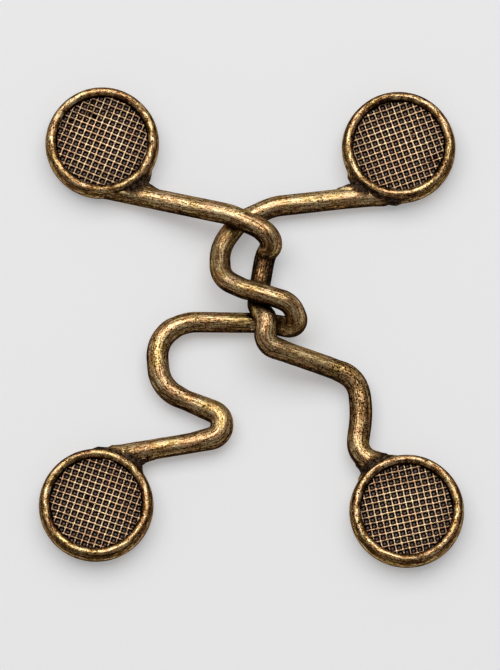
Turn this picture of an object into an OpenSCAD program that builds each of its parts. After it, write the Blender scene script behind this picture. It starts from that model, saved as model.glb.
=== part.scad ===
// Trouser hook of antique brass: two bent wires twisted round each other,
// each soldered at both ends to a round pad with a waffle disc in its recess.
// Millimetres. The pads rest on the plane z = 0, and z points up.
// The origin is under the middle of the four pads.

/* [Pads] */
// Outer diameter of a pad, that of a 24 line trouser button
pad_d = 15.2; // [15:0.05:15.4]
// Height of a pad from its flat underside to the top of its rim
pad_h = 3.7; // [3.6:0.05:4]
// Radius of the bulge that runs round the side of a pad
bulge_r = 1.6; // [1.5:0.05:1.7]
// Height of the widest line of that bulge
bulge_z = 1.5; // [1.4:0.05:1.55]
// Thickness of the round bead that forms the rim
bead_d = 1.24; // [1.1:0.02:1.3]
// Diameter of the recess inside the rim
recess_d = 12.3; // [12:0.05:12.4]
// Depth of the recess below the top of the rim
recess_depth = 1.45; // [1.3:0.05:1.6]

/* [Waffle discs] */
// Distance from one rib to the next
rib_pitch = 0.87; // [0.8:0.01:1]
// Width of a rib
rib_w = 0.28; // [0.2:0.01:0.36]
// Height of a rib above its plate
rib_h = 0.35; // [0.25:0.01:0.45]
// Thickness of the plate under the ribs
plate_t = 0.35; // [0.3:0.01:0.45]
// Dark gap between the disc and the wall of the recess
disc_gap = 0.05; // [0.03:0.01:0.1]

/* [Wires] */
// Diameter of the wire
wire_d = 2.8; // [2.6:0.05:2.8]
// Flats round the wire
wire_sides = 16; // [12:2:20]
// Angle from one cross-section to the next in a bend
bend_step = 10; // [8:1:20]

/* [Solder] */
// Diameter of the bead of solder in each corner between a wire and a pad
solder_d = 2; // [1.8:0.1:2.2]
// Height of the middle of a bead of solder
solder_z = 1.45; // [1.2:0.05:1.6]

/* [Hidden] */

brass = "#8a6f3c";
dark_brass = "#6b5330";
$fn = 64;

pad_r = pad_d / 2;
bead_r = bead_d / 2;
recess_r = recess_d / 2;
recess_z = pad_h - recess_depth;
// The bead overhangs the recess by this much before the recess is cut
bead_trim = 0.05;
bead_at = recess_r - bead_trim + bead_r;
disc_r = recess_r - disc_gap;
disc_z = recess_z + 0.02;
// Enough to cut clean through a surface
clear = 1;

// A pad: where it is, and how its waffle is turned and shifted
// columns: x, y, turn in degrees, shift along the ribs, shift across them
PAD_UPPER_LEFT  = [-19.90,  25.08, -22.1, -0.29,  0.06];
PAD_UPPER_RIGHT = [ 19.66,  24.45,  19.4, -0.01, -0.15];
PAD_LOWER_LEFT  = [-20.52, -24.27, -19.1, -0.04,  0.09];
PAD_LOWER_RIGHT = [ 20.54, -25.08,  12.5,  0.04, -0.06];
TURN = 2;
SHIFT_X = 3;
SHIFT_Y = 4;

// Bends of the two wires, from pad to pad, one row for each corner
// columns: x, y, height of the wire's underside, bend radius, thickness as a share of wire_d
LIFT = 2;
BEND_R = 3;
THICK = 4;

// From the upper left pad, over the other wire, down, under it, over it again
// and out to the lower right pad
LEFT_BENDS = [
    [-19.16,  18.82, 0.10,  0.0, 1.00],
    [-14.89,  17.88, 0.10,  8.0, 1.00],
    [ -2.75,  14.61, 2.90,  9.0, 1.02],
    [  1.00,  12.79, 3.10,  5.0, 1.04],
    [  3.20,  11.06, 3.05,  1.8, 1.08],
    [  1.84,   9.77, 0.05,  1.6, 1.00],
    [  1.20,   6.00, 0.03,  5.0, 1.00],
    [  0.68,   2.43, 2.01,  1.9, 0.94],
    [  2.21,  -0.02, 3.95,  2.0, 1.06],
    [  1.53,  -3.09, 3.60,  1.8, 1.08],
    [  5.18,  -4.27, 2.70,  8.0, 1.00],
    [ 10.43,  -5.71, 0.80, 10.0, 1.00],
    [ 14.05,  -7.07, 0.10,  3.6, 1.06],
    [ 14.66, -11.62, 0.06, 16.0, 1.09],
    [ 13.92, -17.05, 0.05,  2.6, 1.07],
    [ 18.53, -20.17, 0.10,  0.0, 1.02],
];

// From the upper right pad, under the other wire, round a loop and over it,
// down through a tight curl, under it again and out to the lower left pad
RIGHT_BENDS = [
    [ 17.08,  17.93, 0.10,  0.0, 1.00],
    [ 12.46,  17.50, 0.10,  8.0, 1.00],
    [  2.88,  16.43, 0.02,  7.0, 1.00],
    [ -1.74,  14.23, 0.02,  3.6, 1.00],
    [ -4.20,  10.77, 0.50,  5.6, 1.00],
    [ -4.12,   6.10, 2.50,  3.8, 1.02],
    [ -1.15,   4.28, 4.05,  5.0, 0.99],
    [  2.22,   3.11, 5.20,  6.0, 0.96],
    [  5.23,   2.18, 4.80,  2.6, 0.99],
    [  6.61,  -0.73, 1.40,  2.0, 1.03],
    [  3.60,   0.19, 0.05,  3.0, 1.00],
    [  1.40,   0.53, 0.02,  4.0, 0.97],
    [ -8.79,   0.63, 0.08,  6.0, 1.00],
    [-12.68,  -1.53, 0.08,  4.4, 1.06],
    [-12.13,  -8.40, 0.10,  4.6, 1.06],
    [ -8.68, -10.01, 0.12,  6.0, 0.98],
    [ -3.82, -12.10, 0.08, 1.75, 1.10],
    [ -4.00, -14.94, 0.08, 1.75, 1.10],
    [ -8.14, -15.86, 0.10,  6.0, 0.98],
    [-17.71, -17.48, 0.10,  0.0, 0.98],
];

// Middles of the beads of solder of each hook
// columns: x, y
LEFT_SOLDER  = [[-14.24, 19.46], [17.16, -18.59], [15.46, -19.55]];
RIGHT_SOLDER = [[13.30, 18.92], [-14.69, -17.68]];

function unit(v) = v / norm(v);

// What is left of v square to the direction d
function square_to(v, d) = unit(v - (v * d) * d);

function wire_size(row) = wire_d * row[THICK];

function corner(row) = [row.x, row.y, row[LIFT] + wire_size(row) / 2];

// A station is a point of the wire's centre line, the wire's direction and its thickness there
function end_station(rows, i, j) =
    [corner(rows[i]), unit(corner(rows[j]) - corner(rows[i])) * sign(j - i), wire_size(rows[i])];

// The stations of the bend at row i, on an arc that touches both straights
function bend_stations(rows, i) =
    let (
        here = corner(rows[i]),
        a = unit(here - corner(rows[i - 1])),
        b = unit(corner(rows[i + 1]) - here),
        turn = acos(a * b),
        r = rows[i][BEND_R],
        side = square_to(b, a),
        hub = here - a * r * tan(turn / 2) + side * r,
        steps = max(1, ceil(turn / bend_step))
    )
    [for (k = [0 : steps])
        let (q = turn * k / steps)
        [hub + r * (a * sin(q) - side * cos(q)), a * cos(q) + side * sin(q), wire_size(rows[i])]];

function stations(rows) =
    let (last = len(rows) - 1)
    [
        end_station(rows, 0, 1),
        for (i = [1 : last - 1]) each bend_stations(rows, i),
        end_station(rows, last, last - 1),
    ];

// The upward side of each cross-section, carried along so that the wire doesn't twist
function upper_sides(line) =
    [for (i = 0, up = square_to([0, 0, 1], line[0][1]);
          i < len(line);
          i = i + 1, up = i < len(line) ? square_to(up, line[i][1]) : up)
        up];

function section(station, up) =
    let (side = cross(station[1], up), r = station[2] / 2)
    [for (k = [0 : wire_sides - 1])
        let (q = 360 * k / wire_sides)
        station[0] + r * (up * cos(q) + side * sin(q))];

// A round wire through the bends of a table
module wire(rows) {
    line = stations(rows);
    ups = upper_sides(line);
    n = wire_sides;
    rings = len(line);
    skin = [for (i = [0 : rings - 2], k = [0 : n - 1])
        let (p = i * n + k, q = i * n + (k + 1) % n)
        each [[p, p + n, q], [q, p + n, q + n]]];
    ends = [[for (k = [0 : n - 1]) k], [for (k = [n - 1 : -1 : 0]) (rings - 1) * n + k]];
    polyhedron(
        points = [for (i = [0 : rings - 1]) each section(line[i], ups[i])],
        faces = concat(ends, skin),
        convexity = 10
    );
}

// A pad without its recess: a flat foot, a bulging side and a bead for a rim
module pad_blank(pad) {
    translate([pad.x, pad.y, 0])
        rotate_extrude()
            union() {
                square([pad_r - bulge_r, pad_h - bead_r]);
                intersection() {
                    translate([pad_r - bulge_r, bulge_z])
                        circle(r = bulge_r);
                    square([pad_r + clear, pad_h]);
                }
                translate([bead_at, pad_h - bead_r])
                    circle(r = bead_r);
            }
}

module recess(pad) {
    translate([pad.x, pad.y, recess_z])
        cylinder(r = recess_r, h = recess_depth + clear);
}

// Solder in the corners where a wire enters its pads
module solder(places) {
    for (place = places)
        translate([place.x, place.y, solder_z])
            sphere(d = solder_d);
}

// One half of the clasp: a wire and the pads at its two ends, soldered into one piece
module hook(rows, places, first_pad, last_pad) {
    difference() {
        union() {
            wire(rows);
            pad_blank(first_pad);
            pad_blank(last_pad);
            solder(places);
        }
        recess(first_pad);
        recess(last_pad);
    }
}

module left_hook() {
    color(brass) hook(LEFT_BENDS, LEFT_SOLDER, PAD_UPPER_LEFT, PAD_LOWER_RIGHT);
}

module right_hook() {
    color(brass) hook(RIGHT_BENDS, RIGHT_SOLDER, PAD_UPPER_RIGHT, PAD_LOWER_LEFT);
}

// One set of straight ribs, shifted so that the rim cuts them where it comes
module ribs(shift) {
    reach = floor(disc_r / rib_pitch);
    for (i = [-reach : reach])
        translate([-disc_r, i * rib_pitch + shift - rib_w / 2, 0])
            cube([2 * disc_r, rib_w, plate_t + rib_h]);
}

// A stamped waffle disc, set in the recess of its pad
module waffle(pad) {
    color(dark_brass)
        translate([pad.x, pad.y, disc_z])
            intersection() {
                cylinder(r = disc_r, h = plate_t + rib_h);
                rotate(pad[TURN])
                    union() {
                        ribs(pad[SHIFT_X]);
                        rotate(90) ribs(pad[SHIFT_Y]);
                        cylinder(r = pad_r, h = plate_t);
                    }
            }
}

module waffle_upper_left() {
    waffle(PAD_UPPER_LEFT);
}

module waffle_lower_right() {
    waffle(PAD_LOWER_RIGHT);
}

module waffle_upper_right() {
    waffle(PAD_UPPER_RIGHT);
}

module waffle_lower_left() {
    waffle(PAD_LOWER_LEFT);
}

left_hook();
right_hook();
waffle_upper_left();
waffle_lower_right();
waffle_upper_right();
waffle_lower_left();
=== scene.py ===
"""Looks of a trouser hook: two bent wires of antique brass, twisted round each other, with
a waffled pad soldered to each of the four wire ends.

Lengths are in millimetres up to the moment that a mesh is finished, and then in metres.
The right of the picture is +X, its top is +Y, and +Z points up from the floor.
"""

import logging
import math
from collections.abc import Sequence
from dataclasses import dataclass, field
from enum import Enum
from typing import NamedTuple

import bpy
import numpy as np
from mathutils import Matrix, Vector


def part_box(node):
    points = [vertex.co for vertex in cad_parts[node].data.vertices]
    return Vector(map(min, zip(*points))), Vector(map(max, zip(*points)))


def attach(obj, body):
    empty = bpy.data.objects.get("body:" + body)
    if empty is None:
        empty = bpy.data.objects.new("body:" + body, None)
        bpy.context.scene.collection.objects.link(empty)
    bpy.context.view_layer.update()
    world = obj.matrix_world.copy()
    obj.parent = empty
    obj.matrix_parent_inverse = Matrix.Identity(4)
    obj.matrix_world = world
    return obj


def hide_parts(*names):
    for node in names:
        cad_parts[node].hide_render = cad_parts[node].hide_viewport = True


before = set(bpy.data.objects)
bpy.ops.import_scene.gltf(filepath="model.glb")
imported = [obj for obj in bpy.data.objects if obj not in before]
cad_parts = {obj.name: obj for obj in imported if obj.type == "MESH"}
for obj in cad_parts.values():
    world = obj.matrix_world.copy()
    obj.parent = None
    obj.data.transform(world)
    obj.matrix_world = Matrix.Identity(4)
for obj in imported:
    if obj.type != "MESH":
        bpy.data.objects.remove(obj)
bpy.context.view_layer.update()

# A millimetre in metres
MM = 0.001
# The body that every piece rides on
BODY = "root"
# Stands in for a length of nothing where something is divided by it
TINY = 1e-6
# Slack with which a place is told to lie on one skin or on the next
SLACK = 0.02

Colour =tuple[float, float, float, float]
# Vertices (n, 3), quads and triangles
Skin = tuple[np.ndarray, np.ndarray, np.ndarray]

log = logging.getLogger("trouser_hook")


class Slot(Enum):
    """Names for material slots, which nothing in this script uses."""

    BRASS = "antique_brass"
    WAFFLE = "waffle_brass"


class Mark(Enum):
    """Attributes that the meshes carry and the materials read."""

    GRAIN = "grain"
    RUB = "rub"
    SOLDER = "solder"
    PITTED = "pitted"
    # Painted light: a pale patch on the middles of the waffles' pocket floors
    POCKET_LIGHT = "dust"


# Shaping functions

# Large odd numbers that scatter the corners and the seed of a noise
SCATTER = (374761393, 668265263, 1440662683)
SCATTER_SEED = 974634777
# Shift and factor of each round that mixes the bits, and the last shift
MIXING = ((13, 1274126177), (15, 2246822519))
LAST_SHIFT = 16


def unit(v: np.ndarray) -> np.ndarray:
    """Vectors along the last axis, scaled to length one."""
    return v / np.linalg.norm(v, axis=-1, keepdims=True)


def ease(t: np.ndarray) -> np.ndarray:
    """Smooth step from 0 to 1: 3t^2 - 2t^3, with t held between 0 and 1."""
    t = np.clip(t, 0.0, 1.0)
    return t * t * (3.0 - 2.0 * t)


def between(value: np.ndarray, low: float, high: float) -> np.ndarray:
    """Smooth step of a value that climbs from low to high."""
    return ease((value - low) / (high - low))


def lattice_value(corner: np.ndarray, seed: int) -> np.ndarray:
    """Hashed number for each whole-number corner.

    Args:
        corner: whole numbers, shape (..., 3).
        seed: picks another set of numbers.

    Returns:
        Numbers from 0 to 1, shape (...).
    """
    word = np.int64(0xFFFFFFFF)
    h = sum(corner[..., axis] * factor for axis, factor in enumerate(SCATTER))
    h = (h + seed * SCATTER_SEED) & word
    for shift, factor in MIXING:
        h = ((h ^ (h >> shift)) * factor) & word
    return ((h ^ (h >> LAST_SHIFT)) & word) / float(word)


def noise(places: np.ndarray, seed: int) -> np.ndarray:
    """Smooth noise: hashed values at the corners of unit cubes, blended by smooth steps.

    Args:
        places: points, shape (..., 3), where the noise changes over a length of about one.
        seed: picks another noise.

    Returns:
        Numbers from 0 to 1, shape (...).
    """
    base = np.floor(places).astype(np.int64)
    t = ease(places - base)
    total = np.zeros(places.shape[:-1])
    for corner in np.ndindex(2, 2, 2):
        step = np.array(corner)
        share = np.prod(np.where(step == 1, t, 1.0 - t), axis=-1)
        total += share * lattice_value(base + step, seed)
    return total


def layered_noise(places: np.ndarray, seed: int, layers: int = 2) -> np.ndarray:
    """Noise in layers, each with half the length and half the strength of the one before.

    Args:
        places: points, shape (..., 3).
        seed: picks another noise.
        layers: how many layers are added up.

    Returns:
        Numbers from 0 to 1, shape (...).
    """
    shares = 0.5 ** np.arange(layers)
    sums = sum(w * noise(places * 2.0 ** k, seed + k) for k, w in enumerate(shares))
    return sums / shares.sum()


def round_axis(pace: float, q: np.ndarray, third: np.ndarray) -> np.ndarray:
    """Coordinates that run round an axis: (pace cos q, pace sin q, third)."""
    return np.stack([pace * np.cos(q), pace * np.sin(q), third], axis=-1)


def arc(centre: np.ndarray, radius: float, start: float, end: float,
        count: int) -> np.ndarray:
    """Points of a circular arc: centre + radius * (cos, sin) of evenly spaced angles.

    Args:
        centre: middle of the circle.
        radius: its radius.
        start: first angle in degrees.
        end: last angle in degrees.
        count: number of points.

    Returns:
        Points, shape (count, 2).
    """
    q = np.radians(np.linspace(start, end, count))
    return centre + radius * np.stack([np.cos(q), np.sin(q)], axis=-1)


def line(start: tuple[float, float], end: tuple[float, float], count: int) -> np.ndarray:
    """Evenly spaced points from start up to, and not including, end."""
    t = np.linspace(0.0, 1.0, count, endpoint=False)[:, None]
    return np.array(start) * (1.0 - t) + np.array(end) * t


def heading(v: np.ndarray) -> float:
    """Angle of a flat vector in degrees, anticlockwise from the first axis."""
    return math.degrees(math.atan2(v[1], v[0]))


# Meshes

def ring_quads(rows: int, columns: int) -> np.ndarray:
    """Quads of a grid that closes from its last column to its first.

    Args:
        rows: number of rings.
        columns: points in each ring; point j of ring i has the index i * columns + j.

    Returns:
        Corner indices, shape (n, 4), that face along (next in the ring) x (next ring).
    """
    i, j = np.meshgrid(np.arange(rows - 1), np.arange(columns), indexing="ij")
    k = (j + 1) % columns
    quads = [i * columns + j, i * columns + k, (i + 1) * columns + k, (i + 1) * columns + j]
    return np.stack(quads, axis=-1).reshape(-1, 4)


def ring_fan(hub: int, first: int, columns: int, forward: bool) -> np.ndarray:
    """Triangles that close one ring onto a hub vertex.

    Args:
        hub: index of the hub.
        first: index of the ring's first vertex.
        columns: points in the ring.
        forward: whether the fan faces the same way round as the ring runs.

    Returns:
        Corner indices, shape (columns, 3).
    """
    j = first + np.arange(columns)
    k = first + (np.arange(columns) + 1) % columns
    hubs = np.full(columns, hub)
    return np.stack([hubs, j, k] if forward else [hubs, k, j], axis=-1)


def close_rings(skin: np.ndarray, first_hub: np.ndarray, last_hub: np.ndarray) -> Skin:
    """Closes a stack of rings with a fan of triangles at each end.

    Args:
        skin: points of the rings, shape (rings, columns, 3).
        first_hub: vertex that the first ring is closed onto.
        last_hub: vertex that the last ring is closed onto.

    Returns:
        Vertices (n, 3), quads and triangles.
    """
    rings, columns = skin.shape[:2]
    count = rings * columns
    places = np.concatenate([skin.reshape(-1, 3), [first_hub, last_hub]])
    caps = np.concatenate([
        ring_fan(count, 0, columns, False),
        ring_fan(count + 1, count - columns, columns, True),
    ])
    return places, ring_quads(rings, columns), caps


def shade_smooth(mesh: bpy.types.Mesh) -> None:
    """Turns on smooth shading for every face of a mesh."""
    mesh.polygons.foreach_set("use_smooth", np.ones(len(mesh.polygons), dtype=bool))


def new_object(name: str, places: np.ndarray, *faces: np.ndarray) -> bpy.types.Object:
    """Makes a mesh object at the origin and links it into the scene.

    Args:
        name: name of the object and its mesh.
        places: vertices, shape (n, 3).
        faces: index arrays, each with its own number of corners.

    Returns:
        The new object, smooth shaded.
    """
    mesh = bpy.data.meshes.new(name)
    mesh.from_pydata(places.tolist(), [], [face for part in faces for face in part.tolist()])
    shade_smooth(mesh)
    mesh.update()
    obj = bpy.data.objects.new(name, mesh)
    bpy.context.scene.collection.objects.link(obj)
    return obj


def places_of(mesh: bpy.types.Mesh) -> np.ndarray:
    """Reads the vertices of a mesh.

    Args:
        mesh: the mesh.

    Returns:
        Vertices, shape (n, 3).
    """
    flat = np.empty(len(mesh.vertices) * 3, dtype=np.float32)
    mesh.vertices.foreach_get("co", flat)
    return flat.reshape(-1, 3).astype(float)


def set_places(mesh: bpy.types.Mesh, places: np.ndarray) -> None:
    """Moves the vertices of a mesh to the given places."""
    mesh.vertices.foreach_set("co", places.astype(np.float32).ravel())
    mesh.update()


def set_mark(mesh: bpy.types.Mesh, mark: Mark, values: np.ndarray) -> None:
    """Stores one number or one vector per vertex.

    Args:
        mesh: the mesh that gets the attribute.
        mark: which attribute.
        values: shape (n,) or (n, 3).
    """
    kind, key = ("FLOAT_VECTOR", "vector") if values.ndim == 2 else ("FLOAT", "value")
    layer = mesh.attributes.new(mark.value, kind, "POINT")
    layer.data.foreach_set(key, values.astype(np.float32).ravel())


def fuse(pieces: list[bpy.types.Object]) -> bpy.types.Object:
    """Unites overlapping closed shells into one closed shell.

    Args:
        pieces: objects; the first one is kept and the others are removed.

    Returns:
        The first object, with the mesh of the union.
    """
    body, *others = pieces
    for other in others:
        union = body.modifiers.new("union", "BOOLEAN")
        union.operation = "UNION"
        union.solver = "MANIFOLD"
        union.object = other
    graph = bpy.context.evaluated_depsgraph_get()
    mesh = bpy.data.meshes.new_from_object(body.evaluated_get(graph))
    body.modifiers.clear()
    body.data = mesh
    shade_smooth(mesh)
    for other in others:
        bpy.data.objects.remove(other)
    return body


# Wires

class Bend(NamedTuple):
    """One corner of a wire: its place, the height of the wire's underside there, the radius
    of the bend and the wire's thickness as a share of its full diameter."""

    x: float
    y: float
    lift: float
    radius: float
    thickness: float


LEFT_BENDS = (
    Bend(-19.16, 18.82, 0.10, 0.0, 1.00),
    Bend(-14.89, 17.88, 0.10, 8.0, 1.00),
    Bend(-2.75, 14.61, 2.90, 9.0, 1.02),
    Bend(1.00, 12.79, 3.10, 5.0, 1.04),
    Bend(3.20, 11.06, 3.05, 1.8, 1.08),
    Bend(1.84, 9.77, 0.05, 1.6, 1.00),
    Bend(1.20, 6.00, 0.03, 5.0, 1.00),
    Bend(0.68, 2.43, 2.01, 1.9, 0.94),
    Bend(2.21, -0.02, 3.95, 2.0, 1.06),
    Bend(1.53, -3.09, 3.60, 1.8, 1.08),
    Bend(5.18, -4.27, 2.70, 8.0, 1.00),
    Bend(10.43, -5.71, 0.80, 10.0, 1.00),
    Bend(14.05, -7.07, 0.10, 3.6, 1.06),
    Bend(14.66, -11.62, 0.06, 16.0, 1.09),
    Bend(13.92, -17.05, 0.05, 2.6, 1.07),
    Bend(18.53, -20.17, 0.10, 0.0, 1.02),
)

RIGHT_BENDS = (
    Bend(17.08, 17.93, 0.10, 0.0, 1.00),
    Bend(12.46, 17.50, 0.10, 8.0, 1.00),
    Bend(2.88, 16.43, 0.02, 7.0, 1.00),
    Bend(-1.74, 14.23, 0.02, 3.6, 1.00),
    Bend(-4.20, 10.77, 0.50, 5.6, 1.00),
    Bend(-4.12, 6.10, 2.50, 3.8, 1.02),
    Bend(-1.15, 4.28, 4.05, 5.0, 0.99),
    Bend(2.22, 3.11, 5.20, 6.0, 0.96),
    Bend(5.23, 2.18, 4.80, 2.6, 0.99),
    Bend(6.61, -0.73, 1.40, 2.0, 1.03),
    Bend(3.60, 0.19, 0.05, 3.0, 1.00),
    Bend(1.40, 0.53, 0.02, 4.0, 0.97),
    Bend(-8.79, 0.63, 0.08, 6.0, 1.00),
    Bend(-12.68, -1.53, 0.08, 4.4, 1.06),
    Bend(-12.13, -8.40, 0.10, 4.6, 1.06),
    Bend(-8.68, -10.01, 0.12, 6.0, 0.98),
    Bend(-3.82, -12.10, 0.08, 1.75, 1.10),
    Bend(-4.00, -14.94, 0.08, 1.75, 1.10),
    Bend(-8.14, -15.86, 0.10, 6.0, 0.98),
    Bend(-17.71, -17.48, 0.10, 0.0, 0.98),
)


class Stretch(NamedTuple):
    """A stretch of a wire, measured along it, on which something comes and goes: its start,
    its end, and the lengths over which it climbs after the start and falls before the end."""

    start: float
    end: float
    climb: float
    fall: float

    def share(self, way: np.ndarray) -> np.ndarray:
        """Share from 0 to 1 at each distance along the wire."""
        climbed = between(way, self.start, self.start + self.climb)
        return climbed * (1.0 - between(way, self.end - self.fall, self.end))


@dataclass
class CentreLine:
    """Centre line of a wire: straights joined by arcs, then softened a little.

    Attributes:
        bends: corners from one pad to the other.
        diameter: full diameter of the wire.
        step: distance from one station to the next.
        arc_step: distance between the points that an arc is laid out with.
        soften: width of the bell-shaped weights that soften the line.
        tail: how far the line runs on into the pad at each end.
        points: the stations, shape (n, 3).
        radii: radius of the wire at each.
        along: distance along the line to each.
        ahead: direction of the line at each.
    """

    bends: tuple[Bend, ...]
    diameter: float = 2.8
    step: float = 0.13
    arc_step: float = 0.1
    soften: float = 0.28
    tail: float = 1.6
    points: np.ndarray = field(init=False)
    radii: np.ndarray = field(init=False)
    along: np.ndarray = field(init=False)
    ahead: np.ndarray = field(init=False)

    def __post_init__(self) -> None:
        """Works out evenly spaced stations, the distance along and the direction at each."""
        knots = self.lay_out()
        way = np.linalg.norm(np.diff(knots[:, :3], axis=0), axis=1)
        way = np.concatenate([[0.0], np.cumsum(way)])
        count = int(round(way[-1] / self.step)) + 1
        self.along = np.linspace(0.0, way[-1], count)
        rows = [np.interp(self.along, way, column) for column in knots.T]
        rows = self.smooth(np.stack(rows, axis=-1))
        self.points = rows[:, :3]
        self.radii = rows[:, 3] / 2.0
        self.ahead = unit(np.gradient(self.points, axis=0))

    def lay_out(self) -> np.ndarray:
        """Dense points and thicknesses: an arc of the bend's radius touches both straights.

        Returns:
            Rows of x, y, z and thickness, shape (n, 4), with a short straight tail at each
            end that runs on into the pad.
        """
        size = np.array([bend.thickness * self.diameter for bend in self.bends])
        height = np.array([bend.lift for bend in self.bends]) + size / 2.0
        flat = np.array([[bend.x, bend.y] for bend in self.bends])
        corners = np.column_stack([flat, height])
        ahead = unit(np.diff(corners, axis=0))
        rows = [np.append(corners[0] - ahead[0] * self.tail, size[0])[None]]
        for i in range(1, len(corners) - 1):
            bend = self.bends[i]
            rows.append(self.round_corner(corners[i], *ahead[i - 1:i + 1], bend.radius, size[i]))
        rows.append(np.append(corners[-1] + ahead[-1] * self.tail, size[-1])[None])
        return np.concatenate(rows)

    def round_corner(self, corner: np.ndarray, a: np.ndarray, b: np.ndarray, r: float,
                     size: float) -> np.ndarray:
        """Arc of one bend: hub + r (a sin q - side cos q) for q from 0 to the turn.

        Args:
            corner: where the two straights would meet.
            a: direction before the bend.
            b: direction after it.
            r: radius of the bend.
            size: thickness of the wire there.

        Returns:
            Rows of x, y, z and thickness.
        """
        turn = math.acos(np.clip(a @ b, -1.0, 1.0))
        side = unit(b - (a @ b) * a)
        hub = corner - a * r * math.tan(turn / 2.0) + side * r
        q = np.linspace(0.0, turn, max(3, int(r * turn / self.arc_step)))[:, None]
        rows = hub + r * (a * np.sin(q) - side * np.cos(q))
        return np.column_stack([rows, np.full(len(q), size)])

    def smooth(self, rows: np.ndarray) -> np.ndarray:
        """Running mean with bell-shaped weights, which die away within three widths.

        The line is carried on past each end by its own mirror image, so the ends stay put.

        Args:
            rows: x, y, z and thickness at each station.

        Returns:
            Rows of the same shape.
        """
        reach = int(math.ceil(3.0 * self.soften / self.step))
        offsets = np.arange(-reach, reach + 1)
        weights = np.exp(-0.5 * (offsets * self.step / self.soften) ** 2)
        weights /= weights.sum()
        head = 2.0 * rows[0] - rows[reach:0:-1]
        foot = 2.0 * rows[-1] - rows[-2:-reach - 2:-1]
        longer = np.concatenate([head, rows, foot])
        columns = [np.convolve(column, weights, mode="valid") for column in longer.T]
        return np.stack(columns, axis=-1)

    def frames(self) -> tuple[np.ndarray, np.ndarray]:
        """Level and upward directions square to the line: side = z x ahead, up = ahead x side."""
        side = unit(np.cross([0.0, 0.0, 1.0], self.ahead))
        return side, np.cross(self.ahead, side)

    def nearest(self, places: np.ndarray, batch: int = 4096) -> tuple[np.ndarray, np.ndarray]:
        """Finds the nearest station of the line to each place.

        Args:
            places: points, shape (n, 3).
            batch: how many points are compared at a time.

        Returns:
            Indices of the stations and distances to the line beside them.
        """
        found = np.empty(len(places), dtype=np.int64)
        for start in range(0, len(places), batch):
            part = places[start:start + batch]
            gap = ((part ** 2).sum(1)[:, None] - 2.0 * part @ self.points.T
                   + (self.points ** 2).sum(1)[None])
            found[start:start + batch] = gap.argmin(1)
        # The distance is measured square to the line, and beyond its ends to the end station
        apart = places - self.points[found]
        ahead = self.ahead[found]
        slip = (apart * ahead).sum(1)
        square = apart - slip[:, None] * ahead
        beyond = np.maximum(0.0, np.abs(slip) - self.step)
        return found, np.hypot(np.linalg.norm(square, axis=1), beyond)


@dataclass
class Wire:
    """A drawn wire: a round section carried along a centre line, a little uneven.

    Attributes:
        path: its centre line.
        seed: picks its own lumps and dents.
        around: points round a section.
        end_length: length of the rounded end, which lies inside the pad.
        end_least: share of that length at which the outermost ring stands.
        lump_depth: depth of the long hollows.
        lump_length: their length.
        dent_depth: depth of the small dents, for a full unit of noise.
        dent_length: their length.
        dent_level: level of the noise above which it is a dent.
    """

    path: CentreLine
    seed: int
    around: int = 56
    end_length: float = 1.5
    end_least: float = 0.04
    lump_depth: float = 0.030
    lump_length: float = 1.7
    dent_depth: float = 0.044
    dent_length: float = 0.55
    dent_level: float = 0.45

    def surface(self) -> Skin:
        """Skin of the wire: centre + radius * (side cos q + up sin q).

        The radius is full size less an unevenness that is never below zero, and shrinks
        like the end of an ellipse over the last stretch, which lies inside the pad.

        Returns:
            Vertices (n, 3), quads and triangles.
        """
        path = self.path
        q = np.linspace(0.0, 2.0 * np.pi, self.around, endpoint=False)
        side, up = path.frames()
        spoke = (side[:, None] * np.cos(q)[None, :, None]
                 + up[:, None] * np.sin(q)[None, :, None])
        end = np.minimum(path.along, path.along[-1] - path.along)
        end = np.clip(end / self.end_length, self.end_least, 1.0)
        taper = np.sqrt(np.clip(1.0 - (1.0 - end) ** 2, 0.0, 1.0))
        full = path.radii * taper
        skin = path.points[:, None] + spoke * full[:, None, None]
        radius = full[:, None] - self.unevenness(skin)
        skin = path.points[:, None] + spoke * radius[..., None]
        return close_rings(skin, path.points[0], path.points[-1])

    def unevenness(self, skin: np.ndarray) -> np.ndarray:
        """Depth by which hammering and wear have taken the wire in.

        Args:
            skin: places on the full round wire, shape (..., 3).

        Returns:
            Depths in millimetres, nowhere below zero.
        """
        slow = layered_noise(skin / self.lump_length, self.seed)
        quick = layered_noise(skin / self.dent_length, self.seed + 7)
        return (self.lump_depth * slow
                + self.dent_depth * np.clip(quick - self.dent_level, 0.0, 1.0))


# Pads

@dataclass(frozen=True)
class PadWear:
    """Wear of the dark finish on a pad, from 0, dark, to 1, bare.

    Angles are taken round the middle of the bead or the bulge in the pad's section, in
    degrees from straight outwards through straight up to straight inwards.

    Attributes:
        bead: wear low on the bead's outer side.
        ridge: how much more its top has.
        ridge_at: angle at which the ridge has all of it.
        ridge_follows: how far that angle follows the one where the rubbing starts.
        inward: losses on the way in to the recess, each with its first and last angle.
        bead_margin: how far from the bead's circle its finish still reaches.
        side: wear of the bulging side.
        shoulder: how much more the worn line on its shoulder has.
        shoulder_at: angle of that line.
        shoulder_width: its width, as an angle.
        under: wear of the rounded lower edge.
        under_at: angles below level between which that wear comes in.
        wall: wear at the top of the recess's wall.
        wall_from: height above the recess's floor at which it starts.
    """

    bead: float = 0.36
    ridge: float = 0.29
    ridge_at: float = 62.0
    ridge_follows: float = 0.3
    inward: tuple[tuple[float, float, float], ...] = ((0.20, 95.0, 125.0), (0.50, 140.0, 170.0))
    bead_margin: float = 0.12
    side: float = 0.47
    shoulder: float = 0.18
    shoulder_at: float = 17.0
    shoulder_width: float = 8.0
    under: float = 0.62
    under_at: tuple[float, float] = (60.0, 75.0)
    wall: float = 0.50
    wall_from: float = 0.2


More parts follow.
